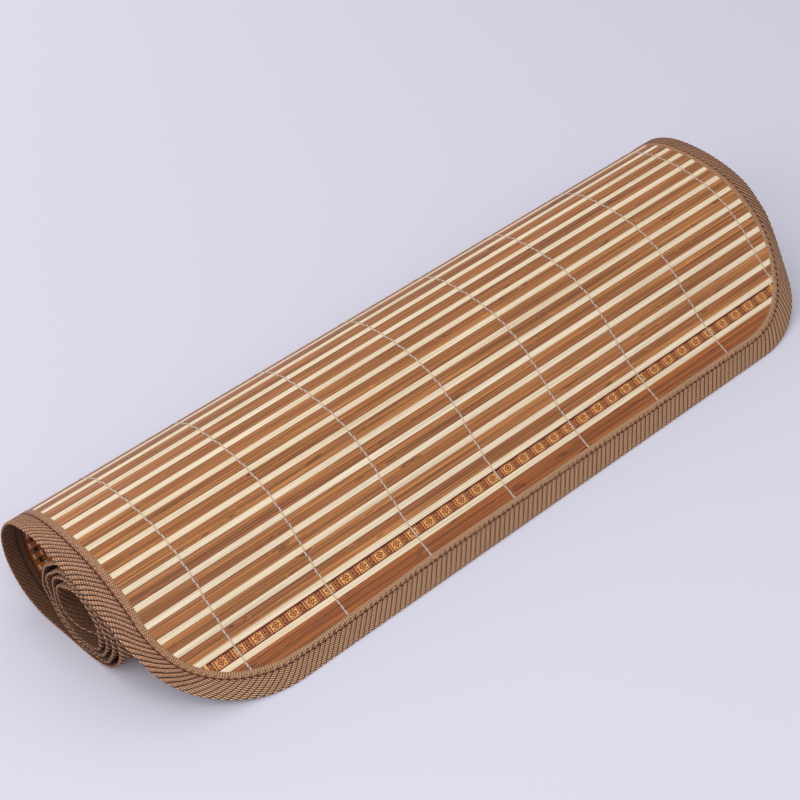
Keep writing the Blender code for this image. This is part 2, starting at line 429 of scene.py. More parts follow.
slatRows = slatTable()
slatStart = rollPoint(slatRows[:, 0])
slatStop = rollPoint(slatRows[:, 1])
slatAcross = slatStop - slatStart
slatChord = np.linalg.norm(slatAcross, axis=1)
slatUp = np.stack([-slatAcross[:, 1], slatAcross[:, 0]], axis=1) / slatChord[:, None]
slatTurn = np.arctan2(slatAcross[:, 1], slatAcross[:, 0])


def buildSlats():
    sizes = {
        "barWidth": (matSizes["slatPitch"] - slatSizes["widthGap"]) * mm,
        "barThickness": slatSizes["thickness"] * mm,
        "edgeRound": slatSizes["edgeRound"] * mm,
        "segments": slatSizes["segments"],
        "wobble": slatSizes["wobble"] * mm,
    }
    tree, given, result = newTree("slatTree", sizes)
    bar = addNode(tree, "GeometryNodeCurvePrimitiveLine", Start=(-0.5, 0.0, 0.0), End=(0.5, 0.0, 0.0))
    parts = addNode(tree, "GeometryNodeResampleCurve", Curve=bar.outputs[0], Count=given.outputs["segments"])
    outline = addNode(tree, "GeometryNodeCurvePrimitiveQuadrilateral",
                      Width=given.outputs["barWidth"], Height=given.outputs["barThickness"])
    rounded = addNode(tree, "GeometryNodeFilletCurve", {"mode": "POLY"}, Curve=outline.outputs[0],
                      Count=2, Radius=given.outputs["edgeRound"])
    swept = addNode(tree, "GeometryNodeCurveToMesh", at0=parts.outputs[0], at1=rounded.outputs[0])
    swept.inputs["Fill Caps"].default_value = True
    facing = addNode(tree, "ShaderNodeSeparateXYZ", at0=addNode(tree, "GeometryNodeInputNormal").outputs[0])
    upward = facing.outputs["Z"]
    under = addNode(tree, "FunctionNodeCompare", {"operation": "LESS_THAN"}, at0=upward, at1=-0.5)
    marked = addNode(tree, "GeometryNodeStoreNamedAttribute", {"data_type": "BOOLEAN", "domain": "FACE"},
                     Geometry=swept.outputs[0], Name="slatBack", Value=under.outputs[0])
    turned = addNode(tree, "FunctionNodeEulerToRotation", at0=readStored(tree, "FLOAT_VECTOR", "slatTurn"))
    stretch = readStored(tree, "FLOAT_VECTOR", "slatStretch")
    laid = addNode(tree, "GeometryNodeInstanceOnPoints", Points=given.outputs["Geometry"],
                   Instance=marked.outputs[0], Rotation=turned.outputs[0], Scale=stretch)
    real = addNode(tree, "GeometryNodeRealizeInstances", at0=laid.outputs[0])
    place = addNode(tree, "GeometryNodeInputPosition")
    bend = addNode(tree, "ShaderNodeVectorMath", {"operation": "MULTIPLY"}, at0=place.outputs[0])
    bend.inputs[1].default_value = slatSizes["bendNoise"]
    noise = addNode(tree, "ShaderNodeTexNoise", Vector=bend.outputs[0], Scale=1.0, Detail=1.0)
    centred = addNode(tree, "ShaderNodeVectorMath", {"operation": "SUBTRACT"}, at0=noise.outputs["Color"])
    centred.inputs[1].default_value = (0.5, 0.5, 0.5)
    reach = addProduct(tree, readStored(tree, "FLOAT", "slatLoose"), given.outputs["wobble"])
    amount = addNode(tree, "ShaderNodeVectorMath", {"operation": "SCALE"}, at0=centred.outputs[0])
    tree.links.new(reach, amount.inputs["Scale"])
    moved = addNode(tree, "GeometryNodeSetPosition", Geometry=real.outputs[0], Offset=amount.outputs[0])
    choices = []
    for number, material in enumerate((brownBamboo, creamBamboo, warmBamboo, tanBamboo)):
        same = addNode(tree, "FunctionNodeCompare", {"data_type": "INT", "operation": "EQUAL"},
                       at2=readStored(tree, "INT", "slatFinish"), at3=number)
        choices.append((same.outputs[0], material))
    # the backs get the more saturated colour, partly painted warm bounce light
    choices.append((readStored(tree, "BOOLEAN", "slatBack"), backBambooWarmShade))
    shown = moved.outputs[0]
    for chosen, material in choices:
        paint = addNode(tree, "GeometryNodeSetMaterial", Geometry=shown, Selection=chosen, Material=material)
        shown = paint.outputs[0]
    tree.links.new(shown, result.inputs[0])

    points = meshFrom("slatPoints", toWorld(np.zeros(len(slatRows)), 0.5 * (slatStart + slatStop)))
    nothing = np.zeros(len(slatRows))
    width = matSizes["slatPitch"] - slatSizes["widthGap"]
    addAttribute(points, "slatTurn", "FLOAT_VECTOR", np.stack([slatTurn, nothing, nothing], axis=1))
    addAttribute(points, "slatStretch", "FLOAT_VECTOR", np.stack(
        [2.0 * slatRows[:, 2] * mm, (slatChord - slatSizes["widthGap"]) / width, nothing + 1.0], axis=1))
    addAttribute(points, "slatFinish", "INT", slatRows[:, 3].astype(np.int32))
    addAttribute(points, "slatTone", "FLOAT", slatRows[:, 4])
    addAttribute(points, "slatLoose", "FLOAT", (slatRows[:, 3] != 3).astype(float))
    return addPiece("slats", runTree(tree, points, sizes, "slats"), "slat_cloth")


slats = buildSlats()

# Warp threads, in pairs that pass over and under every other slat

threadSizes = {
    "rows": (-363.4, -252.1, -143.1, -29.3, 77.1, 181.4, 291.1, 403.1),  # x of each pair
    "width": 1.9,
    "thickness": 0.5,
    "sides": 6,
    "sway": 0.4,  # how far a thread leans over a pair of brown slats
    "underShift": 3.6,  # the pair parts under the mat
    "shoulder": 0.45,
    "sunk": 0.08,  # how far threads press into the slats
    "backRows": (  # lacing on the backs only: how far inside the tape, first slat, tone
        (2.0, 0, 0.0), (5.0, 1, 1.0), (7.0, 1, 1.0), (10.0, 0, 0.0), (14.5, 1, 0.0),
    ),
    "twist": 2.0,
}


def threadMaterial():
    material, tree, shader = newMaterial("warpThread", 0.55)
    white, cream, dark = tint(208, 190, 177), tint(230, 200, 158), tint(36, 24, 20)
    colour = addRamp(tree, readFactor(tree, "threadTone"), (0.0, white), (0.5, cream), (0.6, dark))
    side = addNode(tree, "ShaderNodeSeparateXYZ", at0=objectPlace(tree)).outputs["X"]
    turn = 2.0 * math.pi / threadSizes["twist"]
    along = addProduct(tree, readFactor(tree, "threadAlong"), turn)
    lay = addMath(tree, "SINE", addLinear(tree, side, turn / mm, along))
    twist = addLinear(tree, lay, 0.5, 0.5)
    ply = addRamp(tree, twist, (0.15, (0.7, 0.67, 0.66, 1.0)), (0.6, (1, 1, 1, 1)))
    tree.links.new(addMix(tree, 1.0, colour, ply, "MULTIPLY"), shader.inputs["Base Color"])
    addBump(tree, shader, lay, 0.0002, 0.5)
    return material


def threadLine(x, parity):  # points, the thread's tone there, and the distance along the mat
    rise = 0.5 * (slatSizes["thickness"] + threadSizes["thickness"]) - threadSizes["sunk"]
    points = []
    tones = []
    gone = []
    for k in range(len(slatRows)):
        inner = slatRows[k, 2] - slatSizes["buried"]
        if abs(x) > inner:
            continue
        onTop = (k + parity) % 2 == 0
        side = 1.0 if onTop else -1.0
        isCream = slatRows[k, 3] == 1
        lean = 0.0 if isCream else threadSizes["sway"] * (1.0 if slatRows[k - 1, 3] == 1 else -1.0)
        shift = lean if onTop else threadSizes["underShift"] * (1.0 if parity else -1.0)
        shoulder = threadSizes["shoulder"] / slatChord[k]
        for share, height in ((0.0, 0.0), (shoulder, rise * side), (1.0 - shoulder, rise * side)):
            section = slatStart[k] + share * slatAcross[k] + slatUp[k] * height
            points.append(toWorld(np.array(x + shift), section))
            tones.append(0.5 * isCream)
            gone.append(slatRows[k, 0] + share * slatChord[k])
    return points, tones, gone


def backDash(k, x):  # one pass of a thread over the back of a slat
    drop = -0.5 * (slatSizes["thickness"] + threadSizes["thickness"]) + threadSizes["sunk"]
    shoulder = threadSizes["shoulder"] / slatChord[k]
    return [toWorld(np.array(x), slatStart[k] + share * slatAcross[k] + slatUp[k] * drop)
            for share in (shoulder, 1.0 - shoulder)]


def buildThreads():
    sizes = {
        "threadSides": threadSizes["sides"],
        "threadWidth": 0.5 * threadSizes["width"] * mm,
        "threadThickness": 0.5 * threadSizes["thickness"] * mm,
    }
    tree, given, result = newTree("threadTree", sizes)
    line = addNode(tree, "GeometryNodeMeshToCurve", at0=given.outputs["Geometry"])
    upright = addNode(tree, "GeometryNodeSetCurveNormal", {"mode": "FREE"}, Curve=line.outputs[0])
    upright.inputs["Normal"].default_value = (1.0, 0.0, 0.0)
    circle = addNode(tree, "GeometryNodeCurvePrimitiveCircle", Radius=1.0,
                     Resolution=given.outputs["threadSides"])
    squash = addNode(tree, "ShaderNodeCombineXYZ", X=given.outputs["threadWidth"],
                     Y=given.outputs["threadThickness"])
    oval = addNode(tree, "GeometryNodeTransform", Geometry=circle.outputs[0], Scale=squash.outputs[0])
    swept = addNode(tree, "GeometryNodeCurveToMesh", at0=upright.outputs[0], at1=oval.outputs[0])
    swept.inputs["Fill Caps"].default_value = True
    closeTree(tree, result, swept, threadMaterial())
    allPoints = []
    allTones = []
    allGone = []
    edges = []
    for x in threadSizes["rows"]:
        for parity in (0, 1):
            points, tones, gone = threadLine(x, parity)
            first = len(allPoints)
            edges += [(first + i, first + i + 1) for i in range(len(points) - 1)]
            allPoints += points
            allTones += tones
            allGone += gone
    ends = 0.5 * matSizes["width"] - matSizes["tapeWidth"]
    for inside, parity, tone in threadSizes["backRows"]:
        for k in range(parity, len(slatRows), 2):
            for x in (inside - ends, ends - inside):
                if abs(x) > slatRows[k, 2] - slatSizes["buried"] - 1.0:
                    continue
                edges.append((len(allPoints), len(allPoints) + 1))
                allPoints += backDash(k, x)
                allTones += [tone, tone]
                allGone += [slatRows[k, 0], slatRows[k, 1]]
    lines = meshFrom("threadLines", allPoints, edges=edges)
    addAttribute(lines, "threadTone", "FLOAT", allTones)
    addAttribute(lines, "threadAlong", "FLOAT", allGone)
    return addPiece("warp_threads", runTree(tree, lines, sizes, "threads"), smooth=True)


threads = buildThreads()

# Print on the wide slat: a key fret between framed squares, each square with a plain lozenge

printSizes = {
    "repeat": 21.7,
    "firstSquare": -187.5,  # x of the middle of a square
    "lineWidth": 1.3,
    "motifWidth": 1.2,
    "groundWidth": 7.2,
    "ink": 0.07,
    "groundInk": 0.03,
    "underHem": 1.0,  # how far the print runs on under the tape
    "shortest": 0.4,  # a stroke cut shorter than this is left out
}

# strokes of one repeat, x from the middle of the square and y across the slat: x, y, x, y
fretStrokes = (
    (-6.2, -5.4, -6.2, 5.4), (6.2, -5.4, 6.2, 5.4), (8.4, -4.0, 8.4, 4.0),
    (8.4, 0.0, 12.6, 0.0),
    (8.4, 4.0, 12.6, 4.0), (12.6, 4.0, 12.6, 1.9), (12.6, 1.9, 10.6, 1.9),
    (8.4, -4.0, 12.6, -4.0), (12.6, -4.0, 12.6, -1.9), (12.6, -1.9, 10.6, -1.9),
)
groundStrokes = ((10.85, -2.2, 10.85, 2.2),)
edgeStrokes = ((-6.2, 5.5, 15.5, 5.5), (-6.2, 5.0, 15.5, 5.0), (-6.2, -5.6, 15.5, -5.6))
motifStrokes = (
    (0.0, 3.5, 3.5, 0.0), (3.5, 0.0, 0.0, -3.5), (0.0, -3.5, -3.5, 0.0), (-3.5, 0.0, 0.0, 3.5),
    (-1.2, 0.0, 1.2, 0.0), (0.0, -1.2, 0.0, 1.2),
    (-3.9, 3.6, -2.9, 3.6), (2.9, 3.6, 3.9, 3.6), (-3.9, -3.6, -2.9, -3.6), (2.9, -3.6, 3.9, -3.6),
)
boxFaces = ((3, 2, 1, 0), (4, 5, 6, 7), (0, 1, 5, 4), (1, 2, 6, 5), (2, 3, 7, 6), (3, 0, 4, 7))


def strokeBoxes(name, strokes, width, thickness):
    points = []
    faces = []
    for x0, y0, x1, y1 in strokes:
        start = np.array((x0, y0))
        stop = np.array((x1, y1))
        way = (stop - start) / np.linalg.norm(stop - start)
        side = np.array((-way[1], way[0])) * 0.5 * width
        reach = way * 0.5 * width
        corners = (start - reach - side, stop + reach - side, stop + reach + side, start - reach + side)
        first = len(points)
        for height in (-thickness, thickness):
            points += [(corner[0] * mm, corner[1] * mm, height * mm) for corner in corners]
        faces += [[first + i for i in face] for face in boxFaces]
    return meshFrom(name, points, faces)


def printMatrix():  # from the flat slat, x along it and z up, to its place in the roll
    k = int(np.argmax(slatRows[:, 3] == 3))
    up = slatUp[k]
    across = slatAcross[k] / slatChord[k]
    middle = 0.5 * (slatStart[k] + slatStop[k]) + up * 0.5 * slatSizes["thickness"]
    matrix = Matrix.Identity(4)
    matrix.col[1] = (0.0, across[0], across[1], 0.0)
    matrix.col[2] = (0.0, up[0], up[1], 0.0)
    matrix.col[3] = (*toWorld(np.array(0.0), middle), 1.0)
    return matrix, slatRows[k, 2] - slatSizes["buried"]


def cutPrint(mesh, first, limit, name, material):  # only the strokes on the slat, shortened at its ends
    boxes = readPoints(mesh).reshape(-1, 8, 3)
    boxes[..., 0] += first * mm
    boxes = boxes[np.abs(boxes[..., 0]).min(axis=1) < (limit - printSizes["shortest"]) * mm]
    boxes[..., 0] = np.clip(boxes[..., 0], -limit * mm, limit * mm)
    faces = [[8 * k + i for i in face] for k in range(len(boxes)) for face in boxFaces]
    made = meshFrom(name, boxes.reshape(-1, 3), faces)
    made.materials.append(material)
    return made


def buildPrint(name, strokes, width, height, material):  # width and height by their names in printSizes
    matrix, halfLength = printMatrix()
    repeat = printSizes["repeat"]
    first = printSizes["firstSquare"] - repeat * math.ceil((halfLength + printSizes["firstSquare"]) / repeat)
    count = math.ceil((halfLength - first) / repeat) + 1
    sizes = {"repeats": count, "repeatLength": repeat * mm}
    tree, given, result = newTree(name + "Tree", sizes)
    row = addRow(tree, given, "repeats", "repeatLength")
    laid = addNode(tree, "GeometryNodeInstanceOnPoints", Points=row, Instance=given.outputs["Geometry"])
    closeTree(tree, result, laid, material)
    unit = strokeBoxes(name + "Unit", strokes, printSizes[width], printSizes[height])
    whole = runTree(tree, unit, sizes, name + "Whole")
    mesh = cutPrint(whole, first, halfLength + printSizes["underHem"], name, material)
    mesh.transform(matrix)
    return addPiece(name, mesh)


fretPrint = buildPrint("print_fret", fretStrokes + edgeStrokes, "lineWidth", "ink", printInk)
motifPrint = buildPrint("print_motif", motifStrokes, "motifWidth", "ink", motifInk)
groundPrint = buildPrint("print_ground", groundStrokes, "groundWidth", "groundInk", groundInk)

# Binding tape: folded over the slat ends, sewn through, with slanting ribs outside the seam

tapeSizes = {
    "lip": 0.3,  # how far the hem reaches in over the slats
    "slot": 5.4,
    "slotHalf": 1.14,
    "hemWidth": 6.1,
    "hemHalf": 1.5,
    "seamHalf": 1.1,
    "bandStart": 7.1,
    "bandHalf": 0.98,
    "edgeRound": 0.98,
    "ribPitch": 6.6,
    "ribSlant": 1.28,
    "ribFill": 0.97,
    "ribHeight": 0.52,
    "ribStations": 6,  # on each flat side of the band
    "beadPitch": 2.34,
    "frontFrom": 4010.0,  # distance round the tape where the front edge begins
    "stitchPitch": 3.9,
    "stitchLength": 5.8,
    "stitchWidth": 1.0,
    "wanderTo": 20.0,  # the wandering of the seam fades out towards the outer edge
    "wanderFade": 12.0,
    "station": 4.0,
    "seed": 9,
}

# a rib across: a broad ridge and a narrow beaded row, as shares of its half width and height
ribProfile = ((-1.0, 0.0), (-0.78, 0.82), (-0.38, 1.0), (0.06, 0.86), (0.34, 0.4), (0.68, 0.62), (1.0, 0.0))

# how much more the ribs slant at a distance round the tape: more at the ends, less along the front
slantChange = np.array((
    (0.0, 0.1), (100.0, 0.2), (1400.0, 0.2), (1640.0, 0.0), (2290.0, 0.0), (2500.0, 0.2), (3800.0, 0.2),
    (4090.0, -0.13), (4740.0, -0.13), (4890.0, 0.1),
))

# how far the seam wanders outwards at a distance round the tape
seamWander = np.array((
    (0.0, 0.3), (700.0, 0.8), (1484.0, -0.5), (2290.0, 0.4), (2600.0, -0.6), (3300.0, 0.8), (3700.0, 2.2),
    (3935.0, 2.3), (4060.0, -1.6), (4115.0, 0.7), (4165.0, 0.0), (4270.0, -2.4), (4420.0, -2.2),
    (4560.0, -1.9), (4740.0, -1.3),
))


def outlineSegments():  # straight runs and corners of the tape's inner edge, anticlockwise from above
    half = 0.5 * matSizes["width"] - matSizes["tapeWidth"]
    near = matSizes["tapeWidth"]
    far = matLength - near
    radius = matSizes["cornerRadius"] + matSizes["pieceGap"]
    side = far - near - 2.0 * radius
    front = 2.0 * (half - radius)
    bend = 0.5 * math.pi * radius
    corners = ((half - radius, far - radius), (radius - half, far - radius),
               (radius - half, near + radius), (half - radius, near + radius))
    starts = ((half, near + radius), (half - radius, far), (-half, far - radius), (radius - half, near))
    rows = []
    for k, (start, corner) in enumerate(zip(starts, corners)):
        angle = 0.5 * math.pi * k
        rows.append({"kind": "run", "start": start, "angle": angle, "length": side if k % 2 == 0 else front})
        rows.append({"kind": "bend", "start": corner, "angle": angle, "length": bend, "radius": radius})
    return rows


tapeOutline = outlineSegments()
tapeRound = sum(row["length"] for row in tapeOutline)


def outlineAt(run):  # x, along and the outward way at a distance round the tape's inner edge
    run = np.mod(run, tapeRound)
    place = np.zeros(run.shape + (2,))
    way = np.zeros(run.shape + (2,))
    begun = 0.0
    for row in tapeOutline:
        here = (run >= begun) & (run <= begun + row["length"])
        gone = run[here] - begun
        angle = row["angle"] + (gone / row["radius"] if row["kind"] == "bend" else 0.0 * gone)
        out = np.stack([np.cos(angle), np.sin(angle)], axis=-1)
        if row["kind"] == "bend":
            place[here] = np.array(row["start"]) + out * row["radius"]
        else:
            ahead = np.stack([-out[:, 1], out[:, 0]], axis=-1)
            place[here] = np.array(row["start"]) + ahead * gone[:, None]
        way[here] = out
        begun += row["length"]
    return place, way


def flareAt(along, column):
    k = np.clip(np.searchsorted(tapeFlare[:, 0], along) - 1, 0, len(tapeFlare) - 2)
    share = np.clip((along - tapeFlare[k, 0]) / (tapeFlare[k + 1, 0] - tapeFlare[k, 0]), 0.0, 1.0)
    share = share * share * (3.0 - 2.0 * share)
    return tapeFlare[k, column] + share * (tapeFlare[k + 1, column] - tapeFlare[k, column])


coilRipple = {  # the coiled ends of the tape are uneven
    "from": 640.0,
    "fade": 120.0,
    "reach": 1.2,
    "longWave": 61.0,
    "shortWave": 37.0,
    "shortShare": 0.7,
    "shortShift": 1.3,
}


def wrapTape(run, offset, height):  # from the flat tape to the rolled mat
    wander = np.interp(np.mod(run, tapeRound), seamWander[:, 0], seamWander[:, 1], period=tapeRound)
    offset = offset + wander * np.clip((tapeSizes["wanderTo"] - offset) / tapeSizes["wanderFade"], 0.0, 1.0)
    place, way = outlineAt(run)
    along = place[..., 1]
    left = way[..., 0] < 0.0
    sideShare = np.abs(way[..., 0])
    drop = np.where(left, flareAt(along, 1), flareAt(along, 3)) * sideShare
    drop += np.where(along < 0.5 * matLength, matSizes["frontDrop"] * np.maximum(0.0, -way[..., 1]), 0.0)
    share = offset / matSizes["tapeWidth"]
    reach = offset + np.where(left, flareAt(along, 2) * sideShare, 0.0) * share
    laid = np.clip(along + way[..., 1] * reach, 0.0, matLength)
    begun = np.clip((along - coilRipple["from"]) / coilRipple["fade"], 0.0, 1.0)
    ripple = coilRipple["reach"] * begun * sideShare
    turn = along * 2.0 * math.pi
    waves = np.sin(turn / coilRipple["longWave"])
    waves += coilRipple["shortShare"] * np.sin(turn / coilRipple["shortWave"] + coilRipple["shortShift"])
    height = height + ripple * waves * np.maximum(share, 0.0)
    section = rollPoint(laid) + rollNormal(laid) * (height - drop * share * np.abs(share))[..., None]
    section[..., 1] = np.maximum(section[..., 1], 0.0)  # flat where it lies on the floor
    return toWorld(place[..., 0] + way[..., 0] * reach, section)


def bandSection():  # the band from the seam on top, round the outer edge, to the seam below: offset, height
    start = tapeSizes["bandStart"]
    half = tapeSizes["bandHalf"]
    round_ = tapeSizes["edgeRound"]
    edge = matSizes["tapeWidth"] - round_ - 0.5 * tapeSizes["ribHeight"]
    points = [(start, half), (0.5 * (start + edge), half), (edge, half)]
    points += [(edge + round_ * math.sin(a), half * math.cos(a)) for a in np.linspace(0.0, math.pi, 7)[1:-1]]
    points += [(edge, -half), (0.5 * (start + edge), -half), (start, -half)]
    return np.array(points)


def coreSection():
    half = tapeSizes["hemHalf"]
    lip = -tapeSizes["lip"]
    seam = 0.5 * (tapeSizes["hemWidth"] + tapeSizes["bandStart"])
    hem = [(tapeSizes["slot"], tapeSizes["slotHalf"]), (lip, tapeSizes["slotHalf"]), (lip, half - 0.2),
           (lip + 0.3, half), (0.5 * tapeSizes["hemWidth"], half + 0.02), (tapeSizes["hemWidth"] - 0.4, half),
           (tapeSizes["hemWidth"], half - 0.15), (seam, tapeSizes["seamHalf"] - 0.15)]
    return np.array(hem + bandSection().tolist() + [(x, -z) for x, z in reversed(hem)])


def stationRuns():
    runs = []
    begun = 0.0
    for row in tapeOutline:
        count = max(1, round(row["length"] / tapeSizes["station"]))
        runs += [begun + row["length"] * k / count for k in range(count)]
        begun += row["length"]
    return np.array(runs)


hemColours = {  # light, middle and dark of the dots, and the ribs beside the seam
    "hemFace": (tint(208, 170, 130), tint(170, 128, 92), tint(120, 80, 56), tint(76, 36, 30)),
    # painted shade: the hem's under face, a darker copy of the face colours
    "hemShadedReverse": (tint(150, 108, 66), tint(74, 44, 30), tint(50, 28, 18), tint(50, 28, 18)),
}
hemWeave = {
    "dotLean": -0.5,
    "dotPitch": 2.5,
    "dotRow": 3.9,
    "dotShift": 0.6,
    "front": (0.81, 0.84),  # where the front edge begins, as shares of the way round
    "beside": (0.45, 0.7),  # where the ribs fade in, as shares of the hem's width
}
ribColours = {
    "groove": tint(64, 32, 28),
    "ridge": tint(182, 128, 94),
    "dip": tint(136, 90, 68),
    "row": tint(174, 123, 92),
    # painted shade: darker rib colours for the front edge
    "frontRidge": tint(166, 110, 82),
    "frontDip": tint(70, 34, 28),
    "frontRow": tint(152, 98, 76),
    "spot": tint(64, 28, 24),
    "dot": tint(240, 196, 146),
    # painted shade: darker colours for the band's under face and its dots, for the shade inside the roll
    "shadedReverse": tint(58, 28, 20),
    "glint": tint(176, 122, 74),
}


def hemMaterial(name):  # cloth with dots, with the ribs fading in beside the seam, and painted shade away from the front
    light, middle, dark, line = hemColours[name]
    material, tree, shader = newMaterial(name, 0.85)
    weave, run, offset = weavePlace(tree)
    slanted = addLinear(tree, offset, tapeSizes["ribSlant"], run)
    leaning = addLinear(tree, offset, hemWeave["dotLean"], run)
    dots = addProduct(tree, addWave(tree, leaning, hemWeave["dotPitch"]),
                      addWave(tree, offset, hemWeave["dotRow"], hemWeave["dotShift"]))
    noise = addNoise(tree, weave, 0.9, 2.0)
    front = addStep(tree, addMath(tree, "DIVIDE", run, tapeRound), *hemWeave["front"])
    reach = addLinear(tree, front, 0.4, 0.3)
    height = addLinear(tree, dots, reach, addLinear(tree, noise, 0.8, 0.1))
    colour = addRamp(tree, height, (0.25, dark), (0.5, middle), (0.75, light))
    beside = addStep(tree, addMath(tree, "DIVIDE", offset, tapeSizes["hemWidth"]), *hemWeave["beside"])
    dashes = addLinear(tree, addWave(tree, slanted, tapeSizes["ribPitch"]), 0.5, 0.5)
    dashes = addStep(tree, dashes, 0.4, 0.65)
    strength = addLinear(tree, front, 0.4, 0.5)  # the dashes are bolder along the front
    uneven = addStep(tree, addNoise(tree, weave, 0.21, 1.0), 0.36, 0.52)
    shown = addProduct(tree, addProduct(tree, beside, dashes), addProduct(tree, strength, uneven))
    colour = addMix(tree, shown, colour, line)
    # painted shade: away from the front edge the hem is made darker and redder
    side = addMix(tree, front, (0.86, 0.78, 0.73, 1.0), (0.97, 0.95, 0.93, 1.0))
    colour = addMix(tree, 1.0, colour, side, "MULTIPLY")
    tree.links.new(colour, shader.inputs["Base Color"])
    addBump(tree, shader, height, 0.0004, 0.9)
    return material


def ribMaterial():  # dots on a broad ridge and on the row beside it, with painted shade: darker colours on the band's under face
    material, tree, shader = newMaterial("ribWeave", 0.85)
    weave, gone, across = weavePlace(tree)
    place = addLinear(tree, across, 1.0 / tapeSizes["ribPitch"], 0.5)
    front = readFactor(tree, "ribFront")
    groove = ribColours["groove"]
    ridge = ribColours["ridge"]
    plain = addRamp(tree, place, (0.08, groove), (0.22, ridge), (0.46, ridge), (0.58, ribColours["dip"]),
                    (0.7, ribColours["row"]), (0.88, groove))
    # painted shade: along the front the ribs take darker colours, with much darker dips
    ridge = ribColours["frontRidge"]
    frontShadedForm = addRamp(tree, place, (0.0, groove), (0.15, ridge), (0.42, ridge), (0.56, ribColours["frontDip"]),
                     (0.74, ribColours["frontRow"]), (0.94, groove))
    form = addMix(tree, front, plain, frontShadedForm)
    beadPitch = tapeSizes["beadPitch"]
    stagger = addLinear(tree, addStep(tree, place, 0.46, 0.5), 0.5 * beadPitch, gone)
    noise = addNoise(tree, weave, 0.9, 2.0)
    reach = addLinear(tree, front, 0.42, 0.24)
    height = addLinear(tree, addWave(tree, stagger, beadPitch), reach, addLinear(tree, noise, 0.7, 0.15))
    shade = addRamp(tree, readFactor(tree, "ribTone"), (0.0, (0.82, 0.82, 0.82, 1.0)),
                    (1.0, (1.06, 1.06, 1.06, 1.0)))
    colour = addMix(tree, 1.0, form, shade, "MULTIPLY")
    spots = addMath(tree, "SUBTRACT", 1.0, addStep(tree, height, 0.22, 0.42))
    colour = addMix(tree, addProduct(tree, spots, 0.9), colour, ribColours["spot"])
    dots = addProduct(tree, addStep(tree, height, 0.66, 0.8), addStep(tree, place, 0.1, 0.2))
    colour = addMix(tree, addProduct(tree, dots, 0.8), colour, ribColours["dot"])
    # painted shade: past the fold the band takes the darker copy of its colours
    shadedSide = addStep(tree, addMath(tree, "DIVIDE", gone, ribLength()), 0.5, 0.53)
    glints = addProduct(tree, addStep(tree, height, 0.62, 0.72), 0.75)
    shadedReverse = addMix(tree, glints, addMix(tree, 0.88, form, ribColours["shadedReverse"]), ribColours["glint"])
    colour = addMix(tree, shadedSide, colour, shadedReverse)
    tree.links.new(colour, shader.inputs["Base Color"])
    addBump(tree, shader, height, 0.0004, 0.6)
    return material


def buildCore():
    section = coreSection()
    runs = stationRuns()
    offset = np.broadcast_to(section[:, 0], (len(runs), len(section)))
    height = np.broadcast_to(section[:, 1], (len(runs), len(section)))
    run = np.broadcast_to(runs[:, None], offset.shape)
    points = wrapTape(run, offset, height).reshape(-1, 3)
    rows, size = offset.shape
    i, k = np.meshgrid(np.arange(rows), np.arange(size), indexing="ij")
    after, beside = (i + 1) % rows, (k + 1) % size
    faces = np.stack([i * size + k, after * size + k, after * size + beside, i * size + beside], axis=-1)
    mesh = meshFrom("tapeCore", points, faces.reshape(-1, 4))
    ground = plainMaterial("tapeGround", tint(70, 42, 34), 0.9)
    # the hem's under face gets the darker copy of the hem colours, as painted shade
    for material in (hemMaterial("hemFace"), ground, hemMaterial("hemShadedReverse")):
        mesh.materials.append(material)
    outer = np.maximum(offset, offset[:, np.roll(np.arange(size), -1)]) > tapeSizes["hemWidth"] + 0.1
    under = (height + height[:, np.roll(np.arange(size), -1)] < 0.0) & ~outer
    mesh.polygons.foreach_set("material_index", (outer + 2 * under).reshape(-1).astype(np.int32))
    cornerRun = np.stack([run, np.where(i + 1 < rows, run[after, k], tapeRound)], axis=0)
    uv = np.stack([np.stack([cornerRun[0], cornerRun[1], cornerRun[1], cornerRun[0]], axis=-1),
                   np.stack([offset, offset, offset[i, beside], offset[i, beside]], axis=-1)], axis=-1)
    addAttribute(mesh, "weave", "FLOAT2", uv, "CORNER")
    return addPiece("binding_tape", mesh, "edge_binding", smooth=True)


def bandReach():  # distances round the band's section from its top seam
    return np.concatenate([[0.0], np.cumsum(np.linalg.norm(np.diff(bandSection(), axis=0), axis=1))])


def ribLength():
    return float(bandReach()[-1]) * math.hypot(1.0, tapeSizes["ribSlant"])


def foldBand(spread, height):  # a distance round the band from its top seam, and a height over it
    section = bandSection()
    reach = bandReach()

    def sectionAt(distance):
        return np.stack([np.interp(distance, reach, section[:, k]) for k in range(2)], axis=-1)

    place = sectionAt(spread)
    ahead = sectionAt(spread + 0.4) - sectionAt(spread - 0.4)
    ahead = ahead / np.linalg.norm(ahead, axis=-1, keepdims=True)
    return place[..., 0] - ahead[..., 1] * height, place[..., 1] + ahead[..., 0] * height


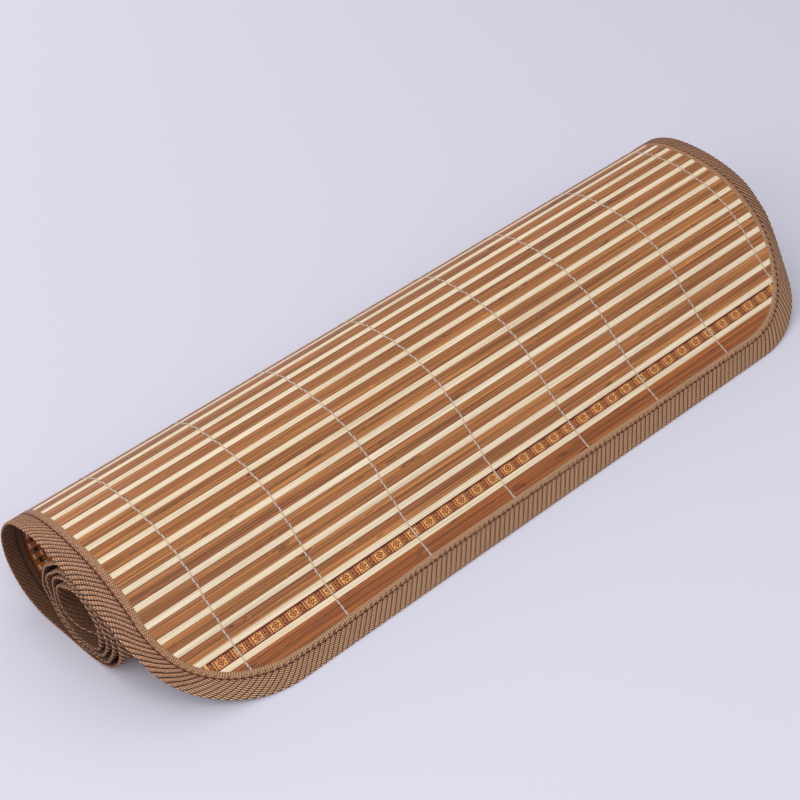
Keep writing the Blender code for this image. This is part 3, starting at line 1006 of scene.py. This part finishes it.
def ribUnit(step):  # one rib laid flat: run, distance round the band, height
    reach = bandReach()
    flat = reach[2]
    stations = tapeSizes["ribStations"]
    spread = np.concatenate([np.linspace(0.0, flat, stations)[:-1], reach[2:-2],
                             np.linspace(reach[-3], reach[-1], stations)[1:]])
    profile = np.array(ribProfile)
    taper = np.minimum(1.0, 0.4 + np.minimum(spread, reach[-1] - spread) / 2.0)
    x = -tapeSizes["ribSlant"] * spread[:, None] + 0.5 * step * tapeSizes["ribFill"] * profile[:, 0]
    y = np.broadcast_to(spread[:, None], x.shape)
    z = tapeSizes["ribHeight"] * taper[:, None] * profile[:, 1]
    rows, size = x.shape
    i, k = np.meshgrid(np.arange(rows - 1), np.arange(size), indexing="ij")
    beside = (k + 1) % size
    faces = np.stack([i * size + k, i * size + beside, (i + 1) * size + beside, (i + 1) * size + k], axis=-1)
    caps = [tuple(range(size))[::-1], tuple(range((rows - 1) * size, rows * size))]
    points = np.stack([x, y, z], axis=-1).reshape(-1, 3)
    mesh = meshFrom("ribUnit", points, faces.reshape(-1, 4).tolist() + caps)
    corner = np.zeros(len(mesh.loops), np.int32)
    mesh.loops.foreach_get("vertex_index", corner)
    gone = (spread[:, None] + 0.0 * x) * math.hypot(1.0, tapeSizes["ribSlant"])
    across = np.broadcast_to(0.5 * step * profile[:, 0], x.shape)
    addAttribute(mesh, "weave", "FLOAT2", np.stack([gone, across], axis=-1).reshape(-1, 2)[corner], "CORNER")
    return mesh


def buildRibs():
    count = round(tapeRound / tapeSizes["ribPitch"])
    sizes = {
        "ribCount": count,
        "ribStep": tapeRound / count,
        "frontFrom": tapeSizes["frontFrom"],
        "seed": tapeSizes["seed"],
    }
    tree, given, result = newTree("ribTree", sizes)
    row = addRow(tree, given, "ribCount", "ribStep")
    dice = addNode(tree, "FunctionNodeRandomValue", {"data_type": "FLOAT"}, Seed=given.outputs["seed"])
    where = addNode(tree, "ShaderNodeSeparateXYZ", at0=addNode(tree, "GeometryNodeInputPosition").outputs[0])
    isFront = addMath(tree, "GREATER_THAN", where.outputs[0], given.outputs["frontFrom"])
    for name, value in (("ribTone", dice.outputs[1]), ("ribFront", isFront)):
        stored = addNode(tree, "GeometryNodeStoreNamedAttribute", {"data_type": "FLOAT", "domain": "POINT"},
                         Geometry=row, Name=name, Value=value)
        row = stored.outputs[0]
    laid = addNode(tree, "GeometryNodeInstanceOnPoints", Points=row, Instance=given.outputs["Geometry"])
    closeTree(tree, result, laid, ribMaterial())
    mesh = runTree(tree, ribUnit(sizes["ribStep"]), sizes, "ribs")
    flat = readPoints(mesh)
    lean = np.interp(np.mod(flat[:, 0], tapeRound), slantChange[:, 0], slantChange[:, 1])
    flat[:, 0] -= lean * flat[:, 1]
    offset, height = foldBand(flat[:, 1], flat[:, 2])
    writePoints(mesh, wrapTape(flat[:, 0], offset, height))
    return addPiece("binding_ribs", mesh, smooth=True)


def buildStitches():
    count = round(tapeRound / tapeSizes["stitchPitch"])
    sizes = {
        "stitchCount": count,
        "stitchStep": tapeRound / count,
        "stitchLength": 0.5 * tapeSizes["stitchLength"],
        "stitchWidth": 0.5 * tapeSizes["stitchWidth"],
    }
    tree, given, result = newTree("stitchTree", sizes)
    ball = addNode(tree, "GeometryNodeMeshUVSphere", Segments=6, Rings=4, Radius=1.0)
    turned = addNode(tree, "GeometryNodeTransform", Geometry=ball.outputs[0])
    turned.inputs["Rotation"].default_value = (0.0, 0.5 * math.pi, 0.0)
    squash = addNode(tree, "ShaderNodeCombineXYZ", X=given.outputs["stitchLength"],
                     Y=given.outputs["stitchWidth"], Z=given.outputs["stitchWidth"])
    stitch = addNode(tree, "GeometryNodeTransform", Geometry=turned.outputs[0], Scale=squash.outputs[0])
    row = addRow(tree, given, "stitchCount", "stitchStep")
    laid = addNode(tree, "GeometryNodeInstanceOnPoints", Points=row, Instance=stitch.outputs[0])
    paint = closeTree(tree, result, laid, stitchThread)
    pieces = []
    seam = 0.5 * (tapeSizes["hemWidth"] + tapeSizes["bandStart"])
    for name, side, thread in (("seam_top", 1.0, stitchThread), ("seam_under", -1.0, underThread)):
        paint.inputs["Material"].default_value = thread
        mesh = runTree(tree, meshFrom("stitchSeed", [(0.0, 0.0, 0.0)]), sizes, name)
        flat = readPoints(mesh)
        height = side * (tapeSizes["seamHalf"] + 0.05 + flat[:, 2])
        writePoints(mesh, wrapTape(flat[:, 0], seam + flat[:, 1] * side, height))
        pieces.append(addPiece(name, mesh, smooth=True))
    return pieces


binding = buildCore()
ribs = buildRibs()
seams = buildStitches()

# Camera, floor and studio light

cameraView = {
    "place": (-1.0364, -1.2468, 1.3388),
    "yaw": 38.11,
    "pitch": 38.24,
    "roll": 6.33,
    "lens": 90.0,
    "sensor": 36.0,
}
floorFinish = {"reach": 8.0, "roughness": 0.9, "colour": tint(214, 212, 224)}
worldLight = {"colour": (0.86, 0.87, 0.93, 1.0), "strength": 0.72}
studioLights = {
    "key": {"place": (-0.7, -1.9, 2.5), "aim": (0.0, 0.0, 0.0), "size": 2.4, "power": 30.0,
            "colour": (1.0, 0.985, 0.96)},
    "fill": {"place": (-2.6, -0.2, 1.3), "aim": (-0.3, 0.0, 0.0), "size": 2.6, "power": 29.0,
             "colour": (0.95, 0.965, 1.0)},
    "back": {"place": (-0.1, 2.1, 1.5), "aim": (0.1, 0.9, 0.0), "size": 1.8, "power": 12.5,
             "colour": (1.0, 1.0, 1.0)},
}


def aimCamera():
    yaw, pitch, roll = (math.radians(cameraView[key]) for key in ("yaw", "pitch", "roll"))
    ahead = np.array((math.sin(yaw) * math.cos(pitch), math.cos(yaw) * math.cos(pitch), -math.sin(pitch)))
    level = np.array((math.cos(yaw), -math.sin(yaw), 0.0))
    down = np.cross(ahead, level)
    right = level * math.cos(roll) + down * math.sin(roll)
    under = down * math.cos(roll) - level * math.sin(roll)
    lens = bpy.data.cameras.new("camera")
    lens.lens = cameraView["lens"]
    lens.sensor_width = cameraView["sensor"]
    camera = bpy.data.objects.new("camera", lens)
    matrix = Matrix.Identity(4)
    for column, axis in enumerate((right, -under, -ahead)):
        matrix.col[column] = (*axis, 0.0)
    matrix.col[3] = (*cameraView["place"], 1.0)
    camera.matrix_world = matrix
    bpy.context.scene.collection.objects.link(camera)
    bpy.context.scene.camera = camera


def addFloor():
    reach = floorFinish["reach"]
    corners = [(-reach, -reach, 0.0), (reach, -reach, 0.0), (reach, reach, 0.0), (-reach, reach, 0.0)]
    mesh = meshFrom("floor", corners, [(0, 1, 2, 3)])
    material, tree, shader = newMaterial("paper", floorFinish["roughness"])
    shader.inputs["Base Color"].default_value = floorFinish["colour"]
    mesh.materials.append(material)
    floor = bpy.data.objects.new("floor", mesh)
    bpy.context.scene.collection.objects.link(floor)


def addLight(name):
    light = studioLights[name]
    lamp = bpy.data.lights.new(name, "AREA")
    lamp.shape = "DISK"
    lamp.size = light["size"]
    lamp.energy = light["power"]
    lamp.color = light["colour"]
    item = bpy.data.objects.new(name, lamp)
    way = np.array(light["aim"], float) - np.array(light["place"], float)
    item.location = light["place"]
    item.rotation_mode = "QUATERNION"
    item.rotation_quaternion = Vector(way).to_track_quat("-Z", "Y")
    bpy.context.scene.collection.objects.link(item)


aimCamera()
addFloor()
for light in studioLights:
    addLight(light)
world = bpy.data.worlds.new("studio")
world.use_nodes = True
background = world.node_tree.nodes["Background"]
background.inputs["Color"].default_value = worldLight["colour"]
background.inputs["Strength"].default_value = worldLight["strength"]
bpy.context.scene.world = world
bpy.context.scene.view_settings.view_transform = "Standard"
